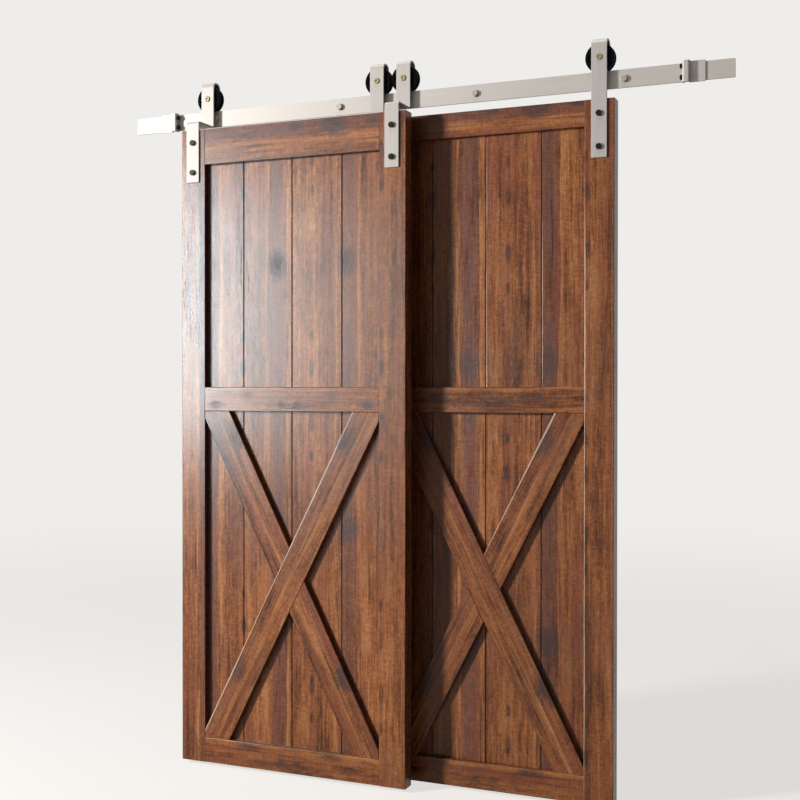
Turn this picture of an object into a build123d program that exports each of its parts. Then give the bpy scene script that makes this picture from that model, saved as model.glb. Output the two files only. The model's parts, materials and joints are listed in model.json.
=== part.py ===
from build123d import *
import math
import os

# Bypass barn doors: two braced plank doors that roll on one flat rail.
# Millimetres. X runs along the rail, -Y looks into the room, +Z is up.
# The origin lies on the wall plane, in the middle of the row of wall screws.

# Rail and what fixes it to the wall
rail_height = 55.0
rail_thickness = 6.0
rail_corner_radius = 3.0
rail_left_overhang = 108.0
rail_right_overhang = 85.0
rail_standoff = 46.5
spacer_diameter = 25.0
spacer_edge = 1.0
wall_screw_count = 4
wall_screw_end_distance = 324.5
wall_screw_radius = 5.0
wall_screw_shank_radius = 4.5
wall_screw_depth = 45.0
wall_screw_tip = 8.0
wall_screw_head_flats = 19.0
wall_screw_head_height = 7.4
wall_screw_seat_diameter = 18.4
wall_screw_seat_height = 0.4
wall_screw_hole_clearance = 0.5

# Stops at the rail's ends
stop_strip_thickness = 4.0
stop_strip_height = 63.0
stop_length = 65.0
stop_head_width = 22.0
stop_reach = 20.0
stop_bend_radius = 2.0
bumper_radius = 7.5
bumper_reach = 7.5
bumper_edge = 2.0
bumper_stem_radius = 3.0
bumper_stem_gap = 0.1
bumper_spacing = 33.0
bumper_button_radius = 3.9
bumper_button_height = 2.0
stop_screw_radius = 3.0
stop_screw_gap = 0.1
stop_screw_head_radius = 6.0
stop_screw_spacing = 30.0
left_rest_gap = 96.5
right_rest_gap = 215.5

# Hangers
strap_width = 48.0
strap_thickness = 6.0
strap_edge_radius = 0.8
strap_end_corner = 2.5
strap_top_radius = 13.0
strap_step_radius = 3.0
strap_step_drop = 0.5
back_leg_drop = 24.0
hanger_inset = 46.0
door_bolt_drop = 44.0
door_bolt_spacing = 100.0
door_bolt_end = 33.0

# Grooved wheels, their bearings and axles
wheel_diameter = 90.0
wheel_width = 28.0
wheel_side_gap = 2.5
wheel_top_gap = 6.5
wheel_pass_gap = 3.0
rolling_radius = 40.0
rolling_gap = 0.3
groove_side_gap = 0.5
groove_mouth_width = 12.0
wheel_edge_radius = 1.5
web_inner_radius = 23.0
web_outer_radius = 34.0
web_recess = 2.5
web_slope = 1.5
hub_lip_width = 2.0
bearing_radius = 17.5
bearing_width = 11.0
bearing_gap_radius = 10.5
bearing_running_gap = 0.06
bearing_shield_recess = 0.7
bearing_race_width = 2.2
axle_radius = 7.5
axle_fit = 0.05
axle_spacer_radius = 11.0
axle_thread_radius = 6.0
axle_head_diameter = 18.4
axle_head_height = 3.6
axle_head_edge = 1.4
axle_socket_flats = 8.0
axle_socket_depth = 3.0
axle_nut_flats = 19.0
axle_nut_height = 9.0
axle_thread_end = 2.0
axle_thread_bevel = 1.0

# Bolts that hold the straps to the doors, and the turned-off corners of every hexagon
hexagon_crown_height = 1.2
hexagon_crown_inset = 0.6
door_bolt_radius = 5.0
door_bolt_hole_gap = 0.5
door_bolt_head_flats = 17.0
door_bolt_head_height = 6.4
door_nut_flats = 17.0
door_nut_height = 7.0
door_nut_flange_radius = 11.5
door_nut_flange_height = 1.8

# Doors
door_width = 825.0
door_height = 2136.0
door_thickness = 50.0
door_top_gap = 29.5
door_pass_gap = 44.0
stile_width = 91.0
front_top_rail_height = 119.0
rear_top_rail_height = 79.5
bottom_rail_height = 83.5
mid_rail_height = 80.0
mid_rail_centre_height = 1227.0
panel_recess = 20.0
frame_edge_radius = 2.0
groove_depth = 12.0
groove_gap = 0.2
tongue_end_gap = 0.8

# Planks and braces
plank_thickness = 20.0
plank_pitch = 182.0
plank_joint_gap = 1.0
plank_bevel = 2.0
plank_tongue_length = 7.0
plank_tongue_thickness = 8.0
plank_tongue_gap = 0.3
plank_tongue_taper = 1.0
brace_width = 96.0
brace_inset = 40.0
brace_edge_bevel = 1.5
brace_joint_gap = 0.2

# Heights, worked out from the rail's middle
rail_top = rail_height / 2
axle_height = rail_top + rolling_gap + rolling_radius
wheel_top = axle_height + wheel_diameter / 2
strap_top = wheel_top + wheel_top_gap + strap_thickness
back_leg_end = axle_height - back_leg_drop
step_top = -rail_top - strap_step_drop
door_top = -rail_top - door_top_gap
door_bottom = door_top - door_height
upper_bolt_height = door_top - door_bolt_drop
lower_bolt_height = upper_bolt_height - door_bolt_spacing
strap_bottom = lower_bolt_height - door_bolt_end

# Depths, worked out from the wall plane
rail_back = -rail_standoff
rail_front = rail_back - rail_thickness
wheel_plane = rail_back - rail_thickness / 2
fold_half_gap = wheel_width / 2 + wheel_side_gap
upper_leg_back = wheel_plane - fold_half_gap
upper_leg_front = upper_leg_back - strap_thickness
back_leg_front = wheel_plane + fold_half_gap
back_leg_back = back_leg_front + strap_thickness
rear_door_face = upper_leg_back
front_door_face = rear_door_face - door_thickness - door_pass_gap

# Places along the rail, counted from its left end and then shifted to the origin
hanger_span = door_width - 2 * hanger_inset
left_stop_face_run = rail_left_overhang + stop_length
front_left_run = left_stop_face_run + bumper_reach + left_rest_gap + strap_width / 2
front_right_run = front_left_run + hanger_span
rear_left_run = front_right_run - wheel_diameter - wheel_pass_gap
rear_right_run = rear_left_run + hanger_span
right_stop_face_run = rear_right_run + strap_width / 2 + right_rest_gap + bumper_reach
rail_length = right_stop_face_run + stop_length + rail_right_overhang
left_stop_face = left_stop_face_run - rail_length / 2
right_stop_face = right_stop_face_run - rail_length / 2
front_door_x = (front_left_run + front_right_run) / 2 - rail_length / 2
rear_door_x = (rear_left_run + rear_right_run) / 2 - rail_length / 2
wall_screw_pitch = (rail_length - 2 * wall_screw_end_distance) / (wall_screw_count - 1)
wall_screw_places = [
    wall_screw_end_distance - rail_length / 2 + n * wall_screw_pitch for n in range(wall_screw_count)
]

# Inside a door, measured from its centre line and its front face
panel_half_width = door_width / 2 - stile_width
mid_rail_bottom = door_bottom + mid_rail_centre_height - mid_rail_height / 2
brace_panel_bottom = door_bottom + bottom_rail_height
tongue_length = groove_depth - tongue_end_gap


def named_solids(solids, node):
    """Join separate solids of one node and give them its name."""
    group = Compound(children=list(solids))
    group.label = node
    return group


def save(shape, node):
    """Write one node to its STEP file."""
    shape.label = node
    export_step(shape, f"parts/{node}.step")


def along_y(shape, x, y, z):
    """Place a shape that was made along +Z so that it points along +Y from (x, y, z)."""
    return Pos(x, y, z) * Rot(X=-90) * shape


def turned(points, x, y, z):
    """Revolve an outline of (radius, depth) points about the Y axis through (x, y, z)."""
    face = make_face(Polyline(*points, close=True))
    return Pos(x, y, z) * revolve(face, axis=Axis.Y)


def rod(radius, start, end, x, z):
    """A plain round bar along Y, from start to end."""
    return along_y(Cylinder(radius, end - start, align=(Align.CENTER, Align.CENTER, Align.MIN)), x, start, z)


def hexagon(flats, height, x, y, z):
    """A hexagon along +Y from y, with the corners of its outer end turned off."""
    corner_radius = flats / math.sqrt(3)
    body = extrude(RegularPolygon(flats / 2, 6, major_radius=False), height)
    outline = [
        (0, 0),
        (corner_radius, 0),
        (corner_radius, height - hexagon_crown_height),
        (flats / 2 - hexagon_crown_inset, height),
        (0, height),
    ]
    turned_blank = Rot(X=90) * turned(outline, 0, 0, 0)
    return along_y(body & turned_blank, x, y, z)


def folded_strip(path, start_across, width, thickness):
    """Sweep a flat bar with eased edges along its middle line, its width along start_across."""
    section_plane = Plane(origin=path @ 0, x_dir=start_across, z_dir=path % 0)
    return sweep(section_plane * RectangleRounded(width, thickness, strap_edge_radius), path=path)


# Rail, spacers and wall screws


def make_rail():
    """Flat bar with rounded corners, bored for the wall screws and the stops' screws."""
    outline = RectangleRounded(rail_length, rail_height, rail_corner_radius)
    bar = along_y(extrude(outline, rail_thickness), 0, rail_front, 0)
    for x in wall_screw_places:
        bar -= rod(wall_screw_radius + wall_screw_hole_clearance, rail_front, rail_back, x, 0)
    for x, z in stop_screw_places(left_stop_face, -1) + stop_screw_places(right_stop_face, 1):
        bar -= rod(stop_screw_radius + stop_screw_gap, rail_front, rail_back, x, z)
    return bar


def make_spacer(x):
    """Tube between the rail and the wall."""
    bore = wall_screw_radius + wall_screw_hole_clearance
    outer = spacer_diameter / 2
    outline = [
        (bore, rail_back),
        (outer - spacer_edge, rail_back),
        (outer, rail_back + spacer_edge),
        (outer, -spacer_edge),
        (outer - spacer_edge, 0),
        (bore, 0),
    ]
    return turned(outline, x, 0, 0)


def make_wall_screw(x):
    """Hexagon head standing on a corner, plain shank to the wall, thread size beyond it."""
    seat = rail_front - wall_screw_seat_height
    outline = [
        (0, seat),
        (wall_screw_seat_diameter / 2, seat),
        (wall_screw_seat_diameter / 2, rail_front),
        (wall_screw_shank_radius, rail_front),
        (wall_screw_shank_radius, 0),
        (wall_screw_radius, 0),
        (wall_screw_radius, wall_screw_depth),
        (0, wall_screw_depth + wall_screw_tip),
    ]
    head = Rot(Z=180) * Rot(Y=30) * hexagon(wall_screw_head_flats, wall_screw_head_height, 0, 0, 0)
    return turned(outline, x, 0, 0) + Pos(x, seat, 0) * head


# Stops


def stop_screw_places(face, side):
    """Where one stop's two screws go: side is -1 at the left end and 1 at the right."""
    tail_inner = stop_head_width
    x = face + side * (tail_inner + stop_length) / 2
    return [(x, -stop_screw_spacing / 2), (x, stop_screw_spacing / 2)]


def make_stop(face, side):
    """Strip folded to a hollow head, with a tail that lies on the rail."""
    half = stop_strip_thickness / 2
    tail_y = rail_front - half
    nose_y = rail_front - stop_reach + half
    head_near = face + side * half
    head_far = face + side * (stop_head_width - half)
    path = FilletPolyline(
        (face + side * stop_length, tail_y, 0),
        (head_far, tail_y, 0),
        (head_far, nose_y, 0),
        (head_near, nose_y, 0),
        (head_near, rail_front, 0),
        radius=stop_bend_radius + half,
    )
    strip = folded_strip(path, (0, 0, 1), stop_strip_height, stop_strip_thickness)
    for x, z in stop_screw_places(face, side):
        strip -= make_stop_screw(x, z, stop_screw_gap)
    for z in bumper_heights():
        stem = Cylinder(bumper_stem_radius + bumper_stem_gap, 4 * stop_strip_thickness)
        strip -= Pos(face, bumper_depth(), z) * Rot(Y=90) * stem
    return strip


def make_stop_screw(x, z, gap):
    """Countersunk screw, flush with the stop's tail and as deep as the rail; a gap widens it all round."""
    outer_face = rail_front - stop_strip_thickness
    cone_depth = stop_screw_head_radius - stop_screw_radius
    outline = [
        (0, outer_face),
        (stop_screw_head_radius + gap, outer_face),
        (stop_screw_radius + gap, outer_face + cone_depth),
        (stop_screw_radius + gap, rail_back),
        (0, rail_back),
    ]
    return turned(outline, x, 0, z)


def bumper_heights():
    """Heights of the two bumpers of one stop."""
    return (-bumper_spacing / 2, bumper_spacing / 2)


def bumper_depth():
    """Depth of the bumpers' axes, in the middle of the stop's reach."""
    return rail_front - stop_reach / 2


def make_bumper(face, side, z):
    """Rubber buffer: a domed button, a stem through the stop and a small button inside."""
    inner_face = stop_strip_thickness
    outline = [
        (0, -bumper_reach),
        (bumper_radius - bumper_edge, -bumper_reach),
        (bumper_radius, -bumper_reach + bumper_edge),
        (bumper_radius, 0),
        (bumper_stem_radius, 0),
        (bumper_stem_radius, inner_face),
        (bumper_button_radius, inner_face),
        (bumper_stem_radius, inner_face + bumper_button_height),
        (0, inner_face + bumper_button_height),
    ]
    buffer = turned(outline, 0, 0, 0)
    return Pos(face, bumper_depth(), z) * Rot(Z=-90 * side) * buffer


# Hangers


def strap_path(steps_forward):
    """Middle line of a strap, from its lower end over the wheel to the end of the back leg."""
    half = strap_thickness / 2
    upper_y = upper_leg_back - half
    back_y = back_leg_front + half
    fold = [(0, upper_y, strap_top - half), (0, back_y, strap_top - half), (0, back_y, back_leg_end)]
    fold_radii = [strap_top_radius + half] * 2
    if not steps_forward:
        return FilletPolyline((0, upper_y, strap_bottom), *fold, radius=fold_radii)
    lower_y = front_door_face - half
    step = [(0, lower_y, strap_bottom), (0, lower_y, step_top - half), (0, upper_y, step_top - half)]
    return FilletPolyline(*step, *fold, radius=[strap_step_radius + half] * 2 + fold_radii)


def end_corner_blank():
    """Block as wide as a strap, with rounded lower corners; its upper ones lie above the strap."""
    height = strap_top - strap_bottom + 2 * strap_end_corner
    depth = back_leg_back - front_door_face + 2 * strap_thickness
    outline = RectangleRounded(strap_width, height, strap_end_corner)
    return along_y(extrude(outline, depth), 0, front_door_face - strap_thickness, strap_bottom + height / 2)


def make_strap(x, steps_forward):
    """Folded flat bar with its axle hole and two bolt holes."""
    face = front_door_face if steps_forward else rear_door_face
    strap = folded_strip(strap_path(steps_forward), (1, 0, 0), strap_width, strap_thickness)
    strap &= end_corner_blank()
    strap -= rod(axle_radius + axle_fit, upper_leg_front, upper_leg_back, 0, axle_height)
    strap -= rod(axle_thread_radius + axle_fit, back_leg_front, back_leg_back, 0, axle_height)
    for z in (upper_bolt_height, lower_bolt_height):
        strap -= rod(door_bolt_radius + door_bolt_hole_gap, face - strap_thickness, face, 0, z)
    return Pos(x, 0, 0) * strap


def make_wheel(x):
    """Grooved wheel: hub with a bearing seat, recessed web, flanges on both sides of the rail."""
    half = wheel_width / 2
    groove_half = rail_thickness / 2 + groove_side_gap
    outer = wheel_diameter / 2
    lip = -half + hub_lip_width
    seat_start = -bearing_width / 2
    outline = [
        (bearing_radius - hub_lip_width, -half),
        (web_inner_radius, -half),
        (web_inner_radius + web_slope, -half + web_recess),
        (web_outer_radius - web_slope, -half + web_recess),
        (web_outer_radius, -half),
        (outer - wheel_edge_radius, -half),
        (outer, -half + wheel_edge_radius),
        (outer, -groove_mouth_width / 2),
        (rolling_radius, -groove_half),
        (rolling_radius, groove_half),
        (outer, groove_mouth_width / 2),
        (outer, half - wheel_edge_radius),
        (outer - wheel_edge_radius, half),
        (web_outer_radius, half),
        (web_outer_radius - web_slope, half - web_recess),
        (web_inner_radius + web_slope, half - web_recess),
        (web_inner_radius, half),
        (bearing_radius, half),
        (bearing_radius, seat_start),
        (bearing_radius - hub_lip_width, seat_start),
        (bearing_radius - hub_lip_width, lip),
    ]
    return turned(outline, x, wheel_plane, axle_height)


def make_bearing(x):
    """Outer race with its shields, turning with the wheel."""
    half = bearing_width / 2
    inner = bearing_gap_radius + bearing_running_gap
    outer = bearing_radius - axle_fit
    race = outer - bearing_race_width
    outline = [
        (inner, -half + bearing_shield_recess),
        (race, -half + bearing_shield_recess),
        (race, -half),
        (outer, -half),
        (outer, half),
        (race, half),
        (race, half - bearing_shield_recess),
        (inner, half - bearing_shield_recess),
    ]
    return turned(outline, x, wheel_plane, axle_height)


def make_inner_ring(x):
    """Inner race, clamped on the axle."""
    half = bearing_width / 2
    bore = axle_radius + axle_fit
    outline = [(bore, -half), (bearing_gap_radius, -half), (bearing_gap_radius, half), (bore, half)]
    return turned(outline, x, wheel_plane, axle_height)


def make_axle_spacers(x):
    """Two sleeves that keep the inner race in the middle of the fold."""
    bore = axle_radius + axle_fit
    race_side = bearing_width / 2
    sleeves = []
    for start, end in ((-fold_half_gap, -race_side), (race_side, fold_half_gap)):
        outline = [(bore, start), (axle_spacer_radius, start), (axle_spacer_radius, end), (bore, end)]
        sleeves.append(turned(outline, x, wheel_plane, axle_height))
    return sleeves


def make_axle_bolt(x):
    """Shoulder bolt: low round head with a socket, plain shoulder through the wheel, thinner threaded end."""
    thread_end = back_leg_back + axle_nut_height + axle_thread_end
    head_front = upper_leg_front - axle_head_height
    head_radius = axle_head_diameter / 2
    outline = [
        (0, head_front),
        (head_radius - axle_head_edge, head_front),
        (head_radius, head_front + axle_head_edge),
        (head_radius, upper_leg_front),
        (axle_radius, upper_leg_front),
        (axle_radius, back_leg_front),
        (axle_thread_radius, back_leg_front),
        (axle_thread_radius, thread_end - axle_thread_bevel),
        (axle_thread_radius - axle_thread_bevel, thread_end),
        (0, thread_end),
    ]
    socket = extrude(RegularPolygon(axle_socket_flats / 2, 6, major_radius=False), axle_socket_depth)
    return turned(outline, x, 0, axle_height) - along_y(socket, x, head_front, axle_height)


def make_axle_nut(x):
    """Hexagon nut behind the back leg."""
    nut = hexagon(axle_nut_flats, axle_nut_height, x, back_leg_back, axle_height)
    nut_end = back_leg_back + axle_nut_height
    return nut - rod(axle_thread_radius + axle_fit, back_leg_back, nut_end, x, axle_height)


def make_door_bolt(x, z, face):
    """Hexagon bolt through the strap and the stile."""
    head_y = face - strap_thickness
    end = face + door_thickness + door_nut_flange_height + door_nut_height
    head = Rot(Z=180) * hexagon(door_bolt_head_flats, door_bolt_head_height, 0, 0, 0)
    return rod(door_bolt_radius, head_y, end, x, z) + Pos(x, head_y, z) * head


def make_door_nut(x, z, face):
    """Flanged hexagon nut on the back of the stile."""
    start = face + door_thickness
    flange = rod(door_nut_flange_radius, start, start + door_nut_flange_height, x, z)
    nut = hexagon(door_nut_flats, door_nut_height, x, start + door_nut_flange_height, z)
    end = start + door_nut_flange_height + door_nut_height
    return flange + nut - rod(door_bolt_radius + axle_fit, start, end, x, z)


# Door frame


def make_stile(door_x, face, side, hanger_x):
    """Upright with rounded edges, a groove for the planks and the rails, and two bolt holes."""
    x = door_x + side * (door_width - stile_width) / 2
    section = RectangleRounded(stile_width, door_thickness, frame_edge_radius)
    groove_width = plank_thickness + 2 * groove_gap
    groove_y = (panel_recess + plank_thickness / 2) - door_thickness / 2
    groove_x = -side * (stile_width - groove_depth) / 2
    section -= Pos(groove_x, groove_y) * Rectangle(groove_depth, groove_width)
    stile = Pos(x, face + door_thickness / 2, door_bottom) * extrude(section, door_height)
    for z in (upper_bolt_height, lower_bolt_height):
        stile -= rod(door_bolt_radius + door_bolt_hole_gap, face, face + door_thickness, hanger_x, z)
    return stile


def make_end_rail(door_x, face, low, height, groove_side):
    """Top or bottom rail: a tongue at each end for the stiles, a groove for the planks on one edge."""
    length = 2 * panel_half_width
    section = RectangleRounded(door_thickness, height, frame_edge_radius)
    groove_width = plank_thickness + 2 * groove_gap
    groove_y = (panel_recess + plank_thickness / 2) - door_thickness / 2
    groove_z = groove_side * (height - groove_depth) / 2
    bar = Rot(Y=90) * extrude(Rot(Z=90) * section, length / 2, both=True)
    bar -= Pos(0, groove_y, groove_z) * Box(length, groove_width, groove_depth)
    tenon = Pos(0, groove_y, -groove_side * groove_depth / 2) * Box(
        length + 2 * tongue_length, plank_thickness, height - groove_depth
    )
    inner = Box(length, door_thickness, height)
    rail = bar + (tenon - inner)
    return Pos(door_x, face + door_thickness / 2, low + height / 2) * rail


def make_mid_rail(door_x, face):
    """Board across the planks, flush with the stiles."""
    board = Box(2 * panel_half_width, panel_recess, mid_rail_height)
    front_edges = board.edges().filter_by(Axis.X).group_by(Axis.Y)[0]
    board = chamfer(front_edges, brace_edge_bevel)
    return Pos(door_x, face + panel_recess / 2, door_bottom + mid_rail_centre_height) * board


def plank_edges():
    """Where each plank starts and ends across the door, outer ones in the stiles' grooves."""
    outer = panel_half_width + tongue_length
    return [-outer, -plank_pitch, 0.0, plank_pitch, outer]


def make_plank(door_x, face, index, low, height):
    """Tongued, grooved and bevelled plank, seated in the frame's grooves."""
    edges = plank_edges()
    last = len(edges) - 2
    left = edges[index]
    right = edges[index + 1]
    front = panel_recess
    back = panel_recess + plank_thickness
    middle = (front + back) / 2
    half_tongue = plank_tongue_thickness / 2
    half_groove = half_tongue + plank_tongue_gap
    groove_bottom = left + plank_tongue_length + plank_tongue_gap
    outline = [(left, front + (plank_bevel if index else 0))]
    if index:
        outline.append((left + plank_bevel, front))
    if index < last:
        right -= plank_joint_gap
        tip = right + plank_tongue_length
        outline += [
            (right - plank_bevel, front),
            (right, front + plank_bevel),
            (right, middle - half_tongue),
            (tip, middle - half_tongue + plank_tongue_taper),
            (tip, middle + half_tongue - plank_tongue_taper),
            (right, middle + half_tongue),
            (right, back - plank_bevel),
            (right - plank_bevel, back),
        ]
    else:
        outline += [(right, front), (right, back)]
    if index:
        outline += [
            (left + plank_bevel, back),
            (left, back - plank_bevel),
            (left, middle + half_groove),
            (groove_bottom, middle + half_groove),
            (groove_bottom, middle - half_groove),
            (left, middle - half_groove),
        ]
    else:
        outline.append((left, back))
    section = make_face(Polyline(*outline, close=True))
    return Pos(door_x, face, low) * extrude(section, height)


# Braces


def brace_strip(side):
    """Outline of one brace before its ends are cut: side is 1 for one that rises to the right."""
    width = 2 * (panel_half_width - brace_inset)
    height = mid_rail_bottom - brace_panel_bottom
    angle = math.degrees(math.atan2(height, side * width))
    return Rot(Z=angle) * Rectangle(2 * height, brace_width)


def brace_panel():
    """The field between the stiles, the bottom rail and the mid rail."""
    return Rectangle(2 * panel_half_width, mid_rail_bottom - brace_panel_bottom)


def make_brace_board(outline, door_x, face):
    """Give a brace its thickness and bevelled front edges, and stand it in its field."""
    board = extrude(outline, panel_recess)
    board = chamfer(board.faces().sort_by(Axis.Z)[-1].edges(), brace_edge_bevel)
    centre_height = (mid_rail_bottom + brace_panel_bottom) / 2
    return Pos(door_x, face + panel_recess, centre_height) * Rot(X=90) * board


def make_braces(door_x, face, long_side):
    """One whole brace and the two halves that meet it, lower half first."""
    whole = brace_panel() & brace_strip(long_side)
    gap_strip = brace_strip(long_side) + offset(brace_strip(long_side), brace_joint_gap)
    halves = (brace_panel() & brace_strip(-long_side)) - gap_strip
    outlines = [whole] + list(halves.faces().sort_by(Axis.Y))
    return [make_brace_board(outline, door_x, face) for outline in outlines]


# Build and save


def build_wall_frame():
    """Rail, spacers, wall screws, stops and bumpers."""
    save(make_rail(), "rail_bar")
    save(named_solids([make_spacer(x) for x in wall_screw_places], "rail_spacers"), "rail_spacers")
    save(named_solids([make_wall_screw(x) for x in wall_screw_places], "wall_screws"), "wall_screws")
    screws = []
    for name, face, side in (("left", left_stop_face, -1), ("right", right_stop_face, 1)):
        save(make_stop(face, side), f"stop_{name}")
        bumpers = [make_bumper(face, side, z) for z in bumper_heights()]
        save(named_solids(bumpers, f"stop_{name}_bumpers"), f"stop_{name}_bumpers")
        screws += [make_stop_screw(x, z, 0) for x, z in stop_screw_places(face, side)]
    save(named_solids(screws, "stop_screws"), "stop_screws")


def build_door(name, door_x, face, top_rail_height, long_side):
    """Frame, planks and braces of one door."""
    top_rail_low = door_top - top_rail_height
    for side, side_name in ((-1, "left"), (1, "right")):
        hanger_x = door_x + side * hanger_span / 2
        save(make_stile(door_x, face, side, hanger_x), f"{name}_stile_{side_name}")
    save(make_end_rail(door_x, face, top_rail_low, top_rail_height, -1), f"{name}_top_rail")
    save(make_end_rail(door_x, face, door_bottom, bottom_rail_height, 1), f"{name}_bottom_rail")
    save(make_mid_rail(door_x, face), f"{name}_mid_rail")
    plank_low = door_bottom + bottom_rail_height - tongue_length
    plank_height = top_rail_low + tongue_length - plank_low
    for index in range(len(plank_edges()) - 1):
        save(make_plank(door_x, face, index, plank_low, plank_height), f"{name}_plank_{index + 1}")
    braces = make_braces(door_x, face, long_side)
    for brace, brace_name in zip(braces, ("brace_whole", "brace_lower", "brace_upper")):
        save(brace, f"{name}_{brace_name}")


def build_hangers(name, door_x, face, steps_forward):
    """The two hangers of one door, with wheels, axles and bolts."""
    rings = []
    sleeves = []
    bolts = []
    nuts = []
    for side, side_name in ((-1, "left"), (1, "right")):
        x = door_x + side * hanger_span / 2
        save(make_strap(x, steps_forward), f"{name}_{side_name}_strap")
        save(make_wheel(x), f"{name}_{side_name}_wheel")
        save(make_bearing(x), f"{name}_{side_name}_bearing")
        save(make_axle_bolt(x), f"{name}_{side_name}_axle_bolt")
        save(make_axle_nut(x), f"{name}_{side_name}_axle_nut")
        rings.append(make_inner_ring(x))
        sleeves += make_axle_spacers(x)
        for z in (upper_bolt_height, lower_bolt_height):
            bolts.append(make_door_bolt(x, z, face))
            nuts.append(make_door_nut(x, z, face))
    for solids, node in (
        (rings, "inner_races"),
        (sleeves, "axle_spacers"),
        (bolts, "door_bolts"),
        (nuts, "door_nuts"),
    ):
        save(named_solids(solids, f"{name}_{node}"), f"{name}_{node}")


os.makedirs("parts", exist_ok=True)
build_wall_frame()
build_door("front_door", front_door_x, front_door_face, front_top_rail_height, 1)
build_door("rear_door", rear_door_x, rear_door_face, rear_top_rail_height, -1)
build_hangers("front", front_door_x, front_door_face, True)
build_hangers("rear", rear_door_x, rear_door_face, False)
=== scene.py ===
import json
import logging
import math
from dataclasses import dataclass
from enum import Enum
from typing import Any, Iterable, Union

import bpy
from mathutils import Matrix, Vector

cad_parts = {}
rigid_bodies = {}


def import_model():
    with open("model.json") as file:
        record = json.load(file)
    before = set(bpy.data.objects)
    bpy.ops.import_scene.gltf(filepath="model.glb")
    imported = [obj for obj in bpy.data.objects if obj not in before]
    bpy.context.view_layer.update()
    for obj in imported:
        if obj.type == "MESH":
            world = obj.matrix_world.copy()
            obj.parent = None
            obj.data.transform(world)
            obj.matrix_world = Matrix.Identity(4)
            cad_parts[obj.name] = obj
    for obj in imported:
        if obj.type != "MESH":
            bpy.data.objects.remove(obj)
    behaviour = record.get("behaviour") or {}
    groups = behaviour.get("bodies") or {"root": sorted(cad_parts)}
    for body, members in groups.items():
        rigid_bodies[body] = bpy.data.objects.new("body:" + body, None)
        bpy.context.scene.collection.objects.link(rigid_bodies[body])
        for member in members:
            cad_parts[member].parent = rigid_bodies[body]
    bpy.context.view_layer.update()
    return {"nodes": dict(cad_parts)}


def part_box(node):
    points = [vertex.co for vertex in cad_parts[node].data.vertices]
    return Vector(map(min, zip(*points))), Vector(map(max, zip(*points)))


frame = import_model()

# Looks of two braced plank doors on one flat rail. Metres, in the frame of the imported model.

log = logging.getLogger("barn_doors")

Colour = tuple[float, float, float]
Place = tuple[float, float, float]
# Two numbers, such as where a change starts and where it ends.
Pair = tuple[float, float]

STEEL_SLOT = "brushed_plate"
WOOD_SLOT = "stained_wood"
NOISE_MIDDLE = 0.5
# Numbers of the sockets that a Mix node has for colours, which share their names with those for other data.
MIX_SHARE, MIX_FIRST, MIX_SECOND, MIX_RESULT = 0, 6, 7, 2


class Grain(Enum):
    """Which way the grain of a board runs, in degrees from the rail's direction."""

    LEVEL = 0.0
    UPRIGHT = 90.0
    RISING = 62.97
    FALLING = 117.03


class Brushing(Enum):
    """Which way a steel piece was brushed."""

    ALONG_RAIL = "x"
    UPRIGHT = "z"


class Axis(Enum):
    """One of the three directions in which a noise is read."""

    ACROSS = 0
    THROUGH = 1
    ALONG = 2


class Shine(Enum):
    """What a lamp does on the surfaces that it reaches: whether it lights their body and shows in their gloss."""

    BOTH = (True, True)
    BODY = (True, False)
    GLOSS = (False, True)


class Wire:
    """One shader socket, with the operators that add Math nodes."""

    def __init__(self, bench: "NodeBench", socket: bpy.types.NodeSocket) -> None:
        """Hold a socket of a node tree."""
        self.bench = bench
        self.socket = socket

    def __add__(self, other: "Value") -> "Wire":
        """Sum."""
        return self.bench.maths("ADD", self, other)

    __radd__ = __add__

    def __sub__(self, other: "Value") -> "Wire":
        """Difference."""
        return self.bench.maths("SUBTRACT", self, other)

    def __rsub__(self, other: "Value") -> "Wire":
        """Difference from a number."""
        return self.bench.maths("SUBTRACT", other, self)

    def __mul__(self, other: "Value") -> "Wire":
        """Product."""
        return self.bench.maths("MULTIPLY", self, other)

    __rmul__ = __mul__

    def __truediv__(self, other: "Value") -> "Wire":
        """Quotient."""
        return self.bench.maths("DIVIDE", self, other)

    def __rtruediv__(self, other: "Value") -> "Wire":
        """Quotient of a number."""
        return self.bench.maths("DIVIDE", other, self)

    def __abs__(self) -> "Wire":
        """Size without its sign."""
        return self.bench.maths("ABSOLUTE", self)

    def root(self) -> "Wire":
        """Square root."""
        return self.bench.maths("SQRT", self)

    def folded(self, half: float) -> "Wire":
        """Distance to the nearest multiple of twice half."""
        return self.bench.maths("PINGPONG", self, half)

    def above(self, other: "Value") -> "Wire":
        """One where this is the greater, else nought."""
        return self.bench.maths("GREATER_THAN", self, other)

    def at_most(self, other: "Value") -> "Wire":
        """The lesser of two values."""
        return self.bench.maths("MINIMUM", self, other)

    def at_least(self, other: "Value") -> "Wire":
        """The greater of two values."""
        return self.bench.maths("MAXIMUM", self, other)

    def ease(self, start: float, end: float) -> "Wire":
        """Rise smoothly from nought to one.

        Args:
            start: Where it leaves nought.
            end: Where it reaches one.

        Returns:
            The eased value, held at nought before start and at one past end.
        """
        return self.bench.node(
            "ShaderNodeMapRange",
            {"interpolation_type": "SMOOTHSTEP"},
            {"Value": self, "From Min": start, "From Max": end},
        )


Value = Union[Wire, float]
# What varies over a surface, by name: its noises and what is shaped from them.
Layers = dict[str, Wire]


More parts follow.
